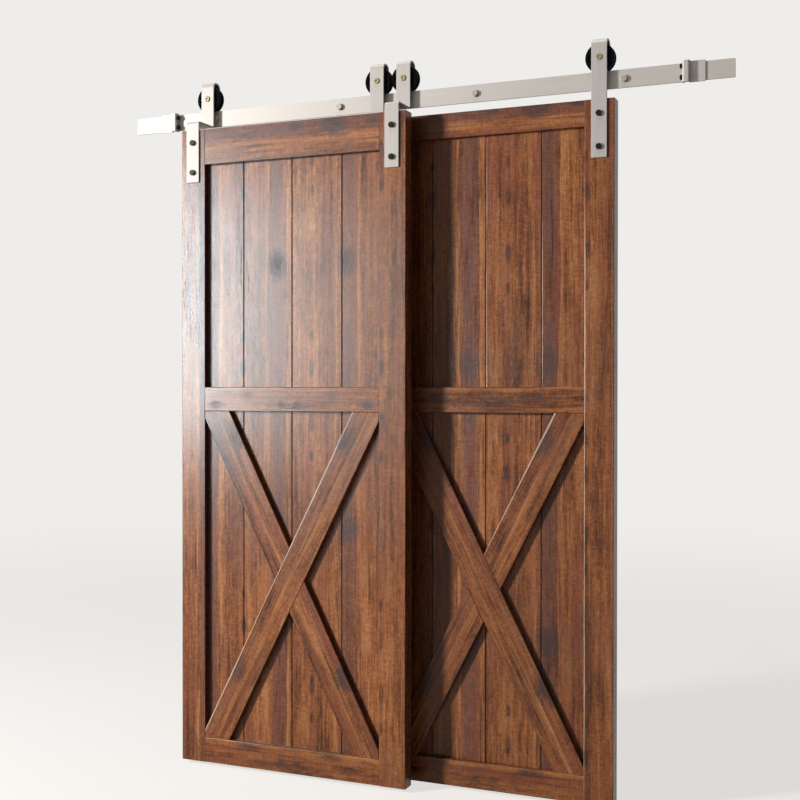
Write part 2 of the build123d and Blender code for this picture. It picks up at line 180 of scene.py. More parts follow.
class NodeBench:
    """A node tree under construction."""

    def __init__(self, tree: bpy.types.NodeTree) -> None:
        """Clear a tree for new nodes."""
        self.tree = tree
        self.tree.nodes.clear()

    def node(
        self,
        kind: str,
        settings: dict[str, Any] | None = None,
        inputs: dict[Any, Any] | None = None,
        output: Any = 0,
    ) -> Wire:
        """Add one node.

        Args:
            kind: The node's type.
            settings: Its own settings, which are set first; "stops" are a ramp's places and colours.
            inputs: Values or wires, by the socket's name or number.
            output: Name or number of the socket that is handed on.

        Returns:
            The wire from that output.
        """
        made = self.tree.nodes.new(kind)
        for key, value in (settings or {}).items():
            if key == "stops":
                self._set_stops(made.color_ramp, value)
            else:
                setattr(made, key, value)
        for key, value in (inputs or {}).items():
            if isinstance(value, Wire):
                self.tree.links.new(value.socket, made.inputs[key])
            else:
                made.inputs[key].default_value = value
        return Wire(self, made.outputs[output] if len(made.outputs) else None)

    @staticmethod
    def _set_stops(ramp: bpy.types.ColorRamp, stops: Iterable[tuple[float, Colour]]) -> None:
        """Give a ramp its stops.

        Args:
            ramp: The ramp of a Color Ramp node, which starts with two stops.
            stops: Pairs of place and colour, in rising order.
        """
        first_stops = len(ramp.elements)
        for number, (place, colour) in enumerate(stops):
            stop = ramp.elements[number] if number < first_stops else ramp.elements.new(place)
            stop.position = place
            stop.color = (*colour, 1.0)

    def maths(self, operation: str, *values: Value) -> Wire:
        """Add a Math node on one to three values and return its wire."""
        return self.node("ShaderNodeMath", {"operation": operation}, dict(enumerate(values)))

    def seen_directly(self) -> Wire:
        """Tell the rays that show a surface from those that it lights others by.

        Returns:
            One for rays from the camera, from a gloss or through glass, else nought.
        """
        rays = self.node("ShaderNodeLightPath", output="Is Camera Ray")
        outputs = rays.socket.node.outputs
        glossy, through = Wire(self, outputs["Is Glossy Ray"]), Wire(self, outputs["Is Transmission Ray"])
        return rays.at_least(glossy).at_least(through)


class Paint(NodeBench):
    """One material under construction: its nodes, its coordinates and its closing shader."""

    def __init__(self, name: str) -> None:
        """Start an empty node material.

        Args:
            name: The material's name.
        """
        self.material = bpy.data.materials.new(name)
        self.material.use_nodes = True
        super().__init__(self.material.node_tree)

    def place(self) -> tuple[Wire, Wire, Wire]:
        """Find where a surface is.

        Returns:
            The object's own X, Y and Z, in metres at rest.
        """
        where = self.node("ShaderNodeTexCoord", output="Object")
        split = self.node("ShaderNodeSeparateXYZ", None, {0: where})
        outputs = split.socket.node.outputs
        return Wire(self, outputs[0]), Wire(self, outputs[1]), Wire(self, outputs[2])

    def vector(self, x: Value, y: Value, z: Value) -> Wire:
        """Join three values into one vector."""
        return self.node("ShaderNodeCombineXYZ", None, {0: x, 1: y, 2: z})

    def noise(self, cells: Wire, detail: float, roughness: float) -> Wire:
        """Read a noise texture.

        Args:
            cells: Where it is read, as a vector in cells.
            detail: Octaves of finer noise.
            roughness: Strength of the finer octaves.

        Returns:
            A value that wavers about nought, by a tenth or two.
        """
        read = self.node(
            "ShaderNodeTexNoise",
            {"noise_dimensions": "3D"},
            {"Vector": cells, "Scale": 1.0, "Detail": detail, "Roughness": roughness},
        )
        return read - NOISE_MIDDLE

    def blend(self, share: Value, first: Any, second: Any) -> Wire:
        """Mix two colours.

        Args:
            share: Share of the second colour, from nought to one.
            first: Colour or wire.
            second: Colour or wire.

        Returns:
            The mixed colour.
        """
        ends = [value if isinstance(value, Wire) else (*value, 1.0) for value in (first, second)]
        return self.node(
            "ShaderNodeMix",
            {"data_type": "RGBA", "clamp_factor": True},
            {MIX_SHARE: share, MIX_FIRST: ends[0], MIX_SECOND: ends[1]},
            MIX_RESULT,
        )

    def scaled(self, colour: Wire, factor: Value) -> Wire:
        """Brighten or darken a colour by a factor."""
        return self.node("ShaderNodeVectorMath", {"operation": "SCALE"}, {0: colour, "Scale": factor})

    def bump(self, height: Wire, distance: float, strength: float) -> Wire:
        """Turn a height into a normal, with the height's unit in metres as distance."""
        return self.node("ShaderNodeBump", None, {"Height": height, "Distance": distance, "Strength": strength})

    def finish(self, inputs: dict[str, Any]) -> bpy.types.Material:
        """Close the material with a Principled shader.

        Args:
            inputs: Its sockets' values and wires, by name.

        Returns:
            The material.
        """
        shader = self.node("ShaderNodeBsdfPrincipled", None, inputs)
        self.node("ShaderNodeOutputMaterial", None, {"Surface": shader})
        return self.material


@dataclass(frozen=True)
class Texture:
    """One noise: its cells per metre in three directions, how fine it goes, and the direction that a seed shifts."""

    across: float
    through: float
    along: float
    detail: float = 2.0
    roughness: float = 0.5
    seeded: Axis = Axis.ALONG

    def read(self, paint: Paint, places: tuple[Value, Value, Value], seed: float = 0.0) -> Wire:
        """Read the noise on a surface.

        Args:
            paint: The material under construction.
            places: Where the surface is, across, through and along, in metres.
            seed: Shift, in cells.

        Returns:
            The noise, which wavers about nought.
        """
        cells = [place * scale for place, scale in zip(places, (self.across, self.through, self.along))]
        if seed:
            cells[self.seeded.value] = cells[self.seeded.value] + seed
        return paint.noise(paint.vector(*cells), self.detail, self.roughness)


def read_all(
    textures: dict[str, Texture],
    paint: Paint,
    places: tuple[Value, Value, Value],
    seed: float = 0.0,
) -> Layers:
    """Read several noises at the same places, across, through and along, and return them by the same names."""
    return {name: texture.read(paint, places, seed) for name, texture in textures.items()}


@dataclass(frozen=True)
class Recipe:
    """A value made of shares of named layers on top of a base."""

    base: float
    shares: tuple[tuple[str, float], ...]

    def of(self, layers: Layers, more: float = 0.0) -> Wire:
        """Add up the shares.

        Args:
            layers: The layers of the surface, by name.
            more: What the base is raised by.

        Returns:
            The value.
        """
        total: Value = self.base + more
        for name, share in self.shares:
            total = total + layers[name] * share
        return total


def recipe(base: float, **shares: float) -> Recipe:
    """Write a recipe with its layers as named arguments."""
    return Recipe(base, tuple(shares.items()))


@dataclass(frozen=True)
class Spot:
    """A long spot: half its width, half its length and the share of its radius over which it fades."""

    half_width: float
    half_length: float
    soft: float

    def cover(self, aside: Wire, along: Wire) -> Wire:
        """Shape the spot.

        Args:
            aside: Distance from its middle, across the grain.
            along: Distance from its middle, along the grain.

        Returns:
            One inside the spot, nought outside.
        """
        reach_aside, reach_along = aside / self.half_width, along / self.half_length
        reach = (reach_aside * reach_aside + reach_along * reach_along).root()
        return 1.0 - reach.ease(1.0 - self.soft, 1.0 + self.soft)


@dataclass(frozen=True)
class Knot:
    """One knot, or the dark line that joins two: its distance from the group's middle, its spot and its strength."""

    along: float
    spot: Spot
    strength: float = 1.0


@dataclass(frozen=True)
class Stain:
    """One dark blotch: its place across the board and along from the group, half its sizes and its strength."""

    aside: float
    along: float
    half_width: float
    half_length: float
    strength: float


@dataclass(frozen=True)
class Board:
    """Where one board lies and how its grain runs.

    Rows of knots run with the grain and knots lie in groups along them. row_offset is how far the nearest row lies
    from the board's middle line, and group_offset how far along the grain the nearest group lies from its middle.
    stains are its own blotches, mirrored about the group. band_strength and patch_strength say how strong its dark
    bands and the patches on them are. The last field, if given, is where along the grain the painted highlight on its
    front left edge starts: a pale line that stands in for light catching that edge.
    """

    node: str
    grain: Grain
    centre: Vector
    half_width: float
    half_depth: float
    row_offset: float
    group_offset: float
    seed: float
    stains: tuple[Stain, ...]
    band_strength: float
    patch_strength: float
    # Where along the grain the painted highlight on the front left edge starts.
    highlight_from: float | None


@dataclass(frozen=True)
class Figure:
    """The places on a board, as wires: along, across and through it, and from its rows and groups of knots."""

    along: Wire
    across: Wire
    depth: Wire
    from_row: Wire
    from_band: Wire
    from_group: Wire


# Noises that run with the grain.
GRAIN_TEXTURES: dict[str, Texture] = {
    "broad": Texture(15.0, 9.0, 0.8, seeded=Axis.ACROSS),
    "mid": Texture(80.0, 45.0, 3.0, 3.0, 0.52, Axis.THROUGH),
    "fine": Texture(300.0, 240.0, 7.0, 3.0, 0.65),
    "dash": Texture(185.0, 140.0, 30.0, 2.0, 0.6, Axis.ACROSS),
    "blush": Texture(36.0, 30.0, 1.8, 2.0, 0.6, Axis.THROUGH),
    "hair": Texture(1100.0, 900.0, 34.0, 2.0, 0.6),
    "curl": Texture(90.0, 60.0, 190.0, 2.0, 0.7, Axis.ACROSS),
    "cloud": Texture(11.0, 11.0, 6.5),
}
# Noises that are mirrored about the rows and groups of knots.
MIRRORED_TEXTURES: dict[str, Texture] = {
    "mirror": Texture(75.0, 40.0, 24.0, 3.0, 0.65, Axis.ACROSS),
    "fleck": Texture(165.0, 90.0, 50.0, 1.6, 0.6),
}


@dataclass(frozen=True)
class StainedWood:
    """Red-brown stain on plainly sawn boards: fine streaks, grey bands, groups of dark knots, satin varnish."""

    # Colours of the streaks, from dark to pale, and of what lies over them.
    umber: Colour = (0.046, 0.019, 0.011)
    russet: Colour = (0.122, 0.040, 0.016)
    chestnut: Colour = (0.222, 0.075, 0.025)
    honey: Colour = (0.335, 0.124, 0.041)
    straw: Colour = (0.480, 0.215, 0.085)
    ash: Colour = (0.105, 0.052, 0.040)
    band: Colour = (0.118, 0.050, 0.043)
    patch: Colour = (0.040, 0.022, 0.023)
    knot: Colour = (0.034, 0.020, 0.017)
    # Colour of the painted highlight: a pale line that stands in for light on a lit edge.
    wear_and_highlight: Colour = (0.620, 0.480, 0.380)
    rosy: Colour = (0.265, 0.080, 0.042)

    # How the grain wanders, and how far apart its rows and groups of knots are.
    drift: Texture = Texture(5.0, 5.0, 1.1)
    drift_reach: float = 0.016
    drift_of_groups: float = 0.03
    ripple: Texture = Texture(26.0, 26.0, 9.0)
    ripple_reach: float = 0.0042
    row_pitch: float = 0.256
    group_pitch: float = 0.861

    # Ground: light and dark streaks, rosy places and ashen streaks.
    tone: Recipe = recipe(0.52, broad=0.75, mid=0.82, fine=0.60, dash=0.30, mirror=0.45, curl=0.25, cloud=0.45)
    tone_stops: tuple[float, ...] = (0.14, 0.33, 0.49, 0.66, 0.92)
    rosy_span: Pair = (-0.04, 0.16)
    rosy_share: float = 0.55
    ash_streaks: Recipe = recipe(0.0, fine=1.0, mid=0.7, dash=0.2)
    ash_span: Pair = (0.03, 0.26)
    ash_share: Recipe = recipe(0.24, cloud=1.5, mirror=0.7)

    # Grey bands. They waver with the mid and fine noises, and have a pale stripe along either side.
    band_half_width: float = 0.034
    band_waver: Pair = (0.034, 0.012)
    band_fade: Pair = (0.40, 1.22)
    mottle_level: float = 0.60
    mottle: Recipe = recipe(0.0, fine=1.7, mid=1.2, mirror=1.5, cloud=1.4, fleck=0.8)
    stripe_rise: float = 0.007
    stripe_fall: Pair = (0.010, 0.022)
    stripe_share: Recipe = recipe(0.26, mid=1.8, fine=0.8)

    # Dark stain: patches on the bands, clouds of dashes on the rows, a board's own blotches, and knots.
    speckle: Recipe = recipe(0.70, fine=3.2, curl=2.6, dash=1.4, fleck=1.2)
    speckle_limits: Pair = (0.1, 1.1)
    ragged: Recipe = recipe(0.0, fine=0.13, curl=0.05, fleck=0.05)
    patch_spot: Spot = Spot(0.040, 0.050, 0.26)
    patch_share: float = 1.05
    dash_cloud: Spot = Spot(0.066, 0.155, 0.80)
    dashes: Recipe = recipe(0.0, fleck=0.6, fine=1.1, curl=0.2)
    dash_span: Pair = (-0.12, 0.34)
    stain_soft: float = 0.55
    stain_ragged: Pair = (0.3, 0.5)
    knots: tuple[Knot, ...] = (
        Knot(0.234, Spot(0.0070, 0.020, 0.5)),
        Knot(0.342, Spot(0.0090, 0.032, 0.5)),
        Knot(0.300, Spot(0.0022, 0.105, 0.7), 0.55),
    )
    knot_waver: Pair = (0.006, 0.02)

    # Pores, the fine light and dark over the whole, stained rims and the painted highlight along lit edges.
    pores: Recipe = recipe(0.0, hair=1.0, fine=0.5)
    pore_span: Pair = (0.10, 0.24)
    weave: Recipe = recipe(1.0, fine=0.50, curl=0.75, dash=0.35, hair=0.35, pore=-0.16, rim=-0.45)
    edge_waver: float = 0.002
    rim_span: Pair = (0.0002, 0.0032)
    # Width, depth from the front and share of the painted highlight on a lit left edge.
    highlight_span: Pair = (0.0022, 0.0044)
    highlight_depth: float = 0.0015
    highlight_share: float = 0.85

    # Relief and gloss.
    relief: Recipe = recipe(0.0, fine=0.5, hair=0.5, curl=0.25, dash=0.3, pore=-0.4, knots=-0.15)
    relief_height: float = 0.00035
    relief_strength: float = 0.5
    roughness: Recipe = recipe(0.26, fine=0.20, curl=0.12, pore=0.10, patch=0.14, band=0.04)
    refraction: float = 1.5
    specular: float = 0.20

    def dress(self, board: Board) -> bpy.types.Material:
        """Make the material of one board.

        Args:
            board: The board, with its place and grain.

        Returns:
            The finished material.
        """
        paint = Paint(f"{WOOD_SLOT}_{board.node}")
        figure = self._figure(paint, board)
        with_grain = (figure.across, figure.depth, figure.along)
        mirrored = (figure.from_row, figure.depth, figure.from_group)
        layers = read_all(GRAIN_TEXTURES, paint, with_grain, board.seed)
        layers |= read_all(MIRRORED_TEXTURES, paint, mirrored, board.seed)

        colour = self._ground(paint, layers)
        layers["band"], stripe = self._bands(board, figure, layers)
        colour = paint.blend(stripe, colour, self.straw)
        colour = paint.blend(layers["band"], colour, self.band)
        low, high = self.speckle_limits
        speckle = self.speckle.of(layers).at_least(low).at_most(high)
        layers["patch"] = self._patches(board, figure, layers) * speckle
        colour = paint.blend(layers["patch"], colour, self.patch)
        layers["knots"] = self._knots(figure, layers)
        colour = paint.blend(layers["knots"] * speckle, colour, self.knot)
        layers["pore"] = self.pores.of(layers).ease(*self.pore_span)
        layers["rim"] = self._rim(board, figure, layers)
        colour = paint.scaled(colour, self.weave.of(layers))
        # Painted highlight: a pale line on the front left edge, where light from the left would catch the eased edge.
        if board.highlight_from is not None:
            colour = paint.blend(self._painted_highlight_edge(board, figure, layers), colour, self.wear_and_highlight)
        return paint.finish(
            {
                "Base Color": colour,
                "Roughness": self.roughness.of(layers),
                "Normal": paint.bump(self.relief.of(layers), self.relief_height, self.relief_strength),
                "IOR": self.refraction,
                "Specular IOR Level": self.specular,
            }
        )

    def _figure(self, paint: Paint, board: Board) -> Figure:
        """Measure from the board's middle, with the drift of its grain, and fold the rows and groups of knots.

        Args:
            paint: The material under construction.
            board: The board, with its place and grain.

        Returns:
            The places on the board.
        """
        x, y, z = paint.place()
        turn = math.radians(board.grain.value)
        cosine, sine = math.cos(turn), math.sin(turn)
        centre = board.centre
        along = x * cosine + z * sine - (centre.x * cosine + centre.z * sine)
        across = x * sine - z * cosine - (centre.x * sine - centre.z * cosine)
        depth = y - centre.y
        drift = self.drift.read(paint, (across, depth, along), board.seed)
        ripple = self.ripple.read(paint, (across, depth, along), board.seed)
        line = across + drift * self.drift_reach + ripple * self.ripple_reach
        half_row, half_group = self.row_pitch / 2, self.group_pitch / 2
        from_row = (line - board.row_offset).folded(half_row)
        from_group = (along - board.group_offset + drift * self.drift_of_groups).folded(half_group)
        return Figure(along, line, depth, from_row, half_row - from_row, from_group)

    def _ground(self, paint: Paint, layers: Layers) -> Wire:
        """Colour the streaks of the board, with rosy places and ashen streaks.

        Args:
            paint: The material under construction.
            layers: The board's noises.

        Returns:
            The colour, before any band, stripe, patch or knot.
        """
        stains = (self.umber, self.russet, self.chestnut, self.honey, self.straw)
        stops = list(zip(self.tone_stops, stains))
        colour = paint.node("ShaderNodeValToRGB", {"stops": stops}, {0: self.tone.of(layers)})
        colour = paint.blend(layers["blush"].ease(*self.rosy_span) * self.rosy_share, colour, self.rosy)
        ash = self.ash_streaks.of(layers).ease(*self.ash_span) * self.ash_share.of(layers)
        return paint.blend(ash, colour, self.ash)

    def _bands(self, board: Board, figure: Figure, layers: Layers) -> tuple[Wire, Wire]:
        """Shape the grey bands, midway between the rows of knots.

        Args:
            board: The board, with the strength of its bands.
            figure: The places on it.
            layers: Its noises.

        Returns:
            The mottled band, and the pale stripe along either side of it.
        """
        half = self.band_half_width
        mid_waver, fine_waver = self.band_waver
        edge = figure.from_band + layers["mid"] * mid_waver + layers["fine"] * fine_waver
        inner, outer = self.band_fade
        mottle = self.mottle.of(layers, self.mottle_level * board.band_strength)
        band = (1.0 - edge.ease(half * inner, half * outer)) * mottle * board.band_strength
        near, far = self.stripe_fall
        stripe = edge.ease(half, half + self.stripe_rise) - edge.ease(half + near, half + far)
        return band, stripe * self.stripe_share.of(layers)

    def _patches(self, board: Board, figure: Figure, layers: Layers) -> Wire:
        """Shape the stain where a group of knots is.

        Args:
            board: The board, with its own blotches.
            figure: The places on it.
            layers: Its noises.

        Returns:
            A patch on the bands, a cloud of short dashes on the rows and the board's own blotches.
        """
        ragged = self.ragged.of(layers)
        patch = self.patch_spot.cover(figure.from_band + ragged, figure.from_group + ragged)
        cloud = self.dash_cloud.cover(figure.from_row, figure.from_group)
        dashes = self.dashes.of(layers).ease(*self.dash_span)
        spread = (patch * self.patch_share * board.patch_strength).at_least(cloud * dashes)
        aside_share, along_share = self.stain_ragged
        for mark in board.stains:
            aside = abs(figure.across - mark.aside) + ragged * aside_share
            along = abs(figure.from_group - mark.along) + ragged * along_share
            shape = Spot(mark.half_width, mark.half_length, self.stain_soft).cover(aside, along)
            spread = spread.at_least(shape * mark.strength)
        return spread

    def _knots(self, figure: Figure, layers: Layers) -> Wire:
        """Shape two knots on either side of each group, joined by a thin dark line.

        Args:
            figure: The places on the board.
            layers: Its noises.

        Returns:
            One in the knots, less on the line, nought elsewhere.
        """
        aside_waver, along_waver = self.knot_waver
        aside = figure.from_row + layers["fine"] * aside_waver
        group = figure.from_group + layers["mirror"] * along_waver
        spread: Wire | None = None
        for knot in self.knots:
            shape = knot.spot.cover(aside, group - knot.along) * knot.strength
            spread = shape if spread is None else spread.at_least(shape)
        return spread

    def _rim(self, board: Board, figure: Figure, layers: Layers) -> Wire:
        """Shape the stain that gathered on the last millimetres before a board's long edges."""
        inside = board.half_width - abs(figure.across)
        return 1.0 - (inside + layers["fine"] * self.edge_waver).ease(*self.rim_span)

    def _painted_highlight_edge(self, board: Board, figure: Figure, layers: Layers) -> Wire:
        """Shape the painted highlight: a pale line on the front left edge of a board, standing in for light on that
        edge.

        Args:
            board: The board, with the place from which its edge carries the highlight.
            figure: The places on it.
            layers: Its noises.

        Returns:
            The share of the highlight colour.
        """
        from_edge = figure.across + board.half_width + layers["fine"] * self.edge_waver
        line = 1.0 - from_edge.ease(*self.highlight_span)
        on_front = (figure.depth * -1.0).above(board.half_depth - self.highlight_depth)
        return line * self.highlight_share * (on_front * figure.along.above(board.highlight_from))


@dataclass(frozen=True)
class BrushedSteel:
    """Plain steel bar, brushed one way under a clear satin lacquer."""

    tone: Colour
    metallic: float = 0.32
    hair: Texture = Texture(2600.0, 2600.0, 9.0, 3.0, 0.65)
    stroke: Texture = Texture(420.0, 420.0, 5.0, 3.0, 0.6)
    cloud: Texture = Texture(14.0, 14.0, 6.0, 3.0)
    shade: Recipe = recipe(1.0, stroke=0.26, hair=0.22, cloud=0.14)
    roughness: Recipe = recipe(0.55, stroke=0.14, cloud=0.10, hair=0.08)
    relief: Recipe = recipe(0.0, hair=0.6, stroke=0.6)
    relief_height: float = 0.00008
    relief_strength: float = 0.7

    def dress(self, name: str, brushing: Brushing) -> bpy.types.Material:
        """Make the material.

        Args:
            name: Name of the finish, which the material's name starts with.
            brushing: Which way the brush went.

        Returns:
            The finished material.
        """
        paint = Paint(f"{name}_{brushing.value}")
        x, y, z = paint.place()
        places = (z, y, x) if brushing is Brushing.ALONG_RAIL else (x, y, z)
        layers = read_all({"hair": self.hair, "stroke": self.stroke, "cloud": self.cloud}, paint, places)
        return paint.finish(
            {
                "Base Color": paint.scaled(paint.vector(*self.tone), self.shade.of(layers)),
                "Metallic": self.metallic,
                "Roughness": self.roughness.of(layers),
                "Normal": paint.bump(self.relief.of(layers), self.relief_height, self.relief_strength),
            }
        )


@dataclass(frozen=True)
class TurnedFinish:
    """Finish of turned and forged parts: fine tool marks round the part's own axis, rubbed bright or dusty in places.
    """

    name: str
    tone: Colour
    wear_and_highlight: Colour
    metallic: float
    roughness: float
    mark_height: float = 0.00005
    specular: float = 0.5
    marks: Texture = Texture(1800.0, 1400.0, 0.0, 3.0, 0.6)
    grit: Texture = Texture(900.0, 900.0, 900.0, 3.0, 0.6)
    cloud: Texture = Texture(75.0, 75.0, 75.0, 3.0)
    wear: Recipe = recipe(0.0, cloud=1.2, marks=0.5, grit=0.4)
    wear_span: Pair = (0.05, 0.55)
    shade: Recipe = recipe(1.0, marks=0.25, grit=0.15)
    dullness: Recipe = recipe(0.0, cloud=0.16, marks=0.10, grit=0.06)
    relief: Recipe = recipe(0.0, marks=1.0, grit=0.5)
    relief_strength: float = 0.8

    def dress(self, piece: str, centres: list[Pair]) -> bpy.types.Material:
        """Make the material.

        Args:
            piece: Name of the piece that wears it.
            centres: X and Z of the axes that the piece's solids lie on.

        Returns:
            The finished material.
        """
        paint = Paint(f"{self.name}_{piece}")
        x, y, z = paint.place()
        radius: Wire | None = None
        for centre_x, centre_z in centres:
            aside, above = x - centre_x, z - centre_z
            reach = (aside * aside + above * above).root()
            radius = reach if radius is None else radius.at_most(reach)
        layers = read_all({"grit": self.grit, "cloud": self.cloud}, paint, (x, y, z))
        layers["marks"] = self.marks.read(paint, (radius, y, 0.0))
        wear_and_highlight = self.wear.of(layers).ease(*self.wear_span)
        return paint.finish(
            {
                "Base Color": paint.scaled(paint.blend(wear_and_highlight, self.tone, self.wear_and_highlight), self.shade.of(layers)),
                "Metallic": self.metallic,
                "Roughness": self.dullness.of(layers, self.roughness),
                "Normal": paint.bump(self.relief.of(layers), self.mark_height, self.relief_strength),
                "Specular IOR Level": self.specular,
            }
        )


# One steel in two tones: the straps' tone is painted a little darker and the rail's a little lighter, to even out how
# brightly the lamps light each.
RAIL_STEEL = BrushedSteel(tone=(0.462, 0.434, 0.406))
STRAP_STEEL = BrushedSteel(tone=(0.410, 0.386, 0.364))
WOOD = StainedWood()
BRASS = TurnedFinish("axle_brass", (0.34, 0.29, 0.165), (0.46, 0.41, 0.27), 0.6, 0.42)
BEARING_STEEL = TurnedFinish("bearing_steel", (0.42, 0.41, 0.39), (0.30, 0.27, 0.24), 0.8, 0.34)
SCREW_STEEL = TurnedFinish(f"{STEEL_SLOT}_screws", (0.36, 0.32, 0.285), (0.27, 0.225, 0.19), 0.40, 0.50)
BLACK_OXIDE = TurnedFinish("black_oxide", (0.006, 0.0055, 0.005), (0.018, 0.015, 0.013), 0.0, 0.30, specular=0.20)
SATIN_BLACK = TurnedFinish("satin_black", (0.002, 0.003, 0.004), (0.005, 0.006, 0.007), 0.0, 0.55, 0.00008, 0.03)
RUBBER = TurnedFinish("bumper_rubber", (0.012, 0.012, 0.012), (0.028, 0.027, 0.025), 0.0, 0.75, 0.00012, 0.2)


def cover(node: str, material: bpy.types.Material) -> None:
    """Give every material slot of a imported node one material.

    Args:
        node: The node's name.
        material: The material that it wears.
    """
    for mesh_slot in frame["nodes"][node].material_slots:
        mesh_slot.material = material
    log.info("%s wears %s", node, material.name)


@dataclass
class WallFrame:
    """Rail, spacers, wall screws and the two stops, which stay still."""

    first_screw: float = -0.711
    screw_pitch: float = 0.474
    screw_count: int = 4
    stop_faces: Pair = (-0.8625, 0.8855)
    bumper_spacing: float = 0.033

    def screw_axes(self) -> list[Pair]:
        """Return X and Z of each wall screw."""
        return [(self.first_screw + number * self.screw_pitch, 0.0) for number in range(self.screw_count)]

    def dress(self) -> None:
        """Give the rail, the spacers, the screws and the stops their finishes."""
        flat = RAIL_STEEL.dress(STEEL_SLOT, Brushing.ALONG_RAIL)
        for node in ("rail_bar", "stop_left", "stop_right"):
            cover(node, flat)
        cover("rail_spacers", SCREW_STEEL.dress("rail_spacers", self.screw_axes()))
        cover("wall_screws", SCREW_STEEL.dress("wall_screws", self.screw_axes()))
        cover("stop_screws", flat)
        half = self.bumper_spacing / 2
        for side, face in zip(("left", "right"), self.stop_faces):
            rubber = RUBBER.dress(f"stop_{side}_bumpers", [(face, -half), (face, half)])
            cover(f"stop_{side}_bumpers", rubber)


@dataclass(frozen=True)
class LevelFigure:
    """Figure of a level board: how far its row and its group lie from its middle, and its own blotches."""

    row_offset: float
    group_offset: float
    stains: tuple[Stain, ...]


LEVEL_FIGURES: dict[str, LevelFigure] = {
    "top_rail": LevelFigure(-0.163, 0.163, (Stain(-0.036, 0.134, 0.012, 0.026, 1.05),)),
    "mid_rail": LevelFigure(
        0.050,
        0.0,
        (
            Stain(0.019, 0.0296, 0.014, 0.018, 1.30),
            Stain(0.019, 0.0685, 0.008, 0.009, 0.95),
            Stain(0.019, 0.000, 0.004, 0.030, 0.90),
            Stain(0.018, 0.280, 0.015, 0.024, 1.25),
            Stain(0.018, 0.248, 0.007, 0.009, 0.80),
            Stain(-0.011, 0.155, 0.022, 0.028, 0.60),
        ),
    ),
    "rear_mid_rail": LevelFigure(
        0.050,
        0.0,
        (
            Stain(-0.012, 0.126, 0.011, 0.014, 0.95),
            Stain(-0.012, 0.174, 0.012, 0.017, 1.00),
            Stain(-0.012, 0.150, 0.003, 0.032, 0.75),
            Stain(-0.010, 0.232, 0.007, 0.008, 0.65),
        ),
    ),
    "bottom_rail": LevelFigure(
        0.050,
        0.0,
        (
            Stain(0.007, 0.0296, 0.011, 0.017, 1.15),
            Stain(-0.028, 0.150, 0.013, 0.045, 0.95),
            Stain(0.010, 0.240, 0.007, 0.009, 0.80),
        ),
    ),
}


@dataclass
class Door:
    """One door: frame boards, planks and braces, with sizes measured from its middle line and its bottom."""

    name: str
    middle: float
    group_height: float
    rising_whole: bool
    seed: float
    # Boards whose front left edge gets the painted highlight, along its whole length or only above the mid rail.
    highlit_boards: tuple[str, ...]
    highlit_above_mid_rail: tuple[str, ...] = ()
    bottom: float = -2.193
    row_place: float = 0.073
    brace_row_place: float = 0.088
    brace_group_place: float = 0.50
    brace_width: float = 0.096
    brace_band_strength: float = 0.55
    edge_patch_strength: float = 0.25
    below_every_board: float = -2.0
    seed_step: float = 2.37

    def _highlight_from(self, node: str, centre: Vector) -> float | None:
        """Find where the painted highlight on a board's left edge starts.

        Args:
            node: The node's name without the door's.
            centre: The board's middle.

        Returns:
            The place along its grain from its middle, or None where the edge has no painted highlight.
        """
        if node in self.highlit_boards:
            return self.below_every_board
        if node in self.highlit_above_mid_rail:
            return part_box(f"{self.name}_door_mid_rail")[1].z - centre.z
        return None

    def _board(self, node: str, grain: Grain, seed: float) -> Board:
        """Describe a board from its packed box.

        Args:
            node: The node's name without the door's.
            grain: Which way its grain runs.
            seed: Shifts the fine grain.

        Returns:
            The board. A cut brace takes the whole brace's middle, so its grain runs through both halves.
        """
        slanted = grain in (Grain.RISING, Grain.FALLING)
        low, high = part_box(f"{self.name}_door_{'brace_whole' if slanted else node}")
        centre = (low + high) / 2
        stains: tuple[Stain, ...] = ()
        if slanted:
            side = 1.0 if grain is Grain.RISING else -1.0
            width, row, group = self.brace_width, side * self.brace_row_place, self.brace_group_place
        elif grain is Grain.UPRIGHT:
            width = high.x - low.x
            row = self.middle + self.row_place - centre.x
            group = self.bottom + self.group_height - centre.z
        else:
            width = high.z - low.z
            figure = LEVEL_FIGURES.get(f"{self.name}_{node}", LEVEL_FIGURES[node])
            row, group, stains = figure.row_offset, figure.group_offset, figure.stains
        return Board(
            node=f"{self.name}_door_{node}",
            grain=grain,
            centre=centre,
            half_width=width / 2,
            half_depth=(high.y - low.y) / 2,
            row_offset=row,
            group_offset=group,
            seed=seed,
            stains=stains,
            band_strength=self.brace_band_strength if slanted else 1.0,
            patch_strength=self.edge_patch_strength if node in ("stile_left", "plank_1") else 1.0,
            highlight_from=self._highlight_from(node, centre),
        )

    def boards(self) -> list[Board]:
        """List every board of the door, each with its own grain.

        Returns:
            The boards, in the order of their seeds.
        """
        whole, cut = (Grain.RISING, Grain.FALLING) if self.rising_whole else (Grain.FALLING, Grain.RISING)
        runs = {
            Grain.UPRIGHT: ("stile_left", "stile_right", "plank_1", "plank_2", "plank_3", "plank_4"),
            Grain.LEVEL: ("top_rail", "mid_rail", "bottom_rail"),
            whole: ("brace_whole",),
            cut: ("brace_lower", "brace_upper"),
        }
        pairs = [(node, grain) for grain, nodes in runs.items() for node in nodes]
        return [
            self._board(node, grain, self.seed + self.seed_step * number)
            for number, (node, grain) in enumerate(pairs)
        ]

    def dress(self) -> None:
        """Give every board its own run of the stained wood."""
        for board in self.boards():
            cover(board.node, WOOD.dress(board))


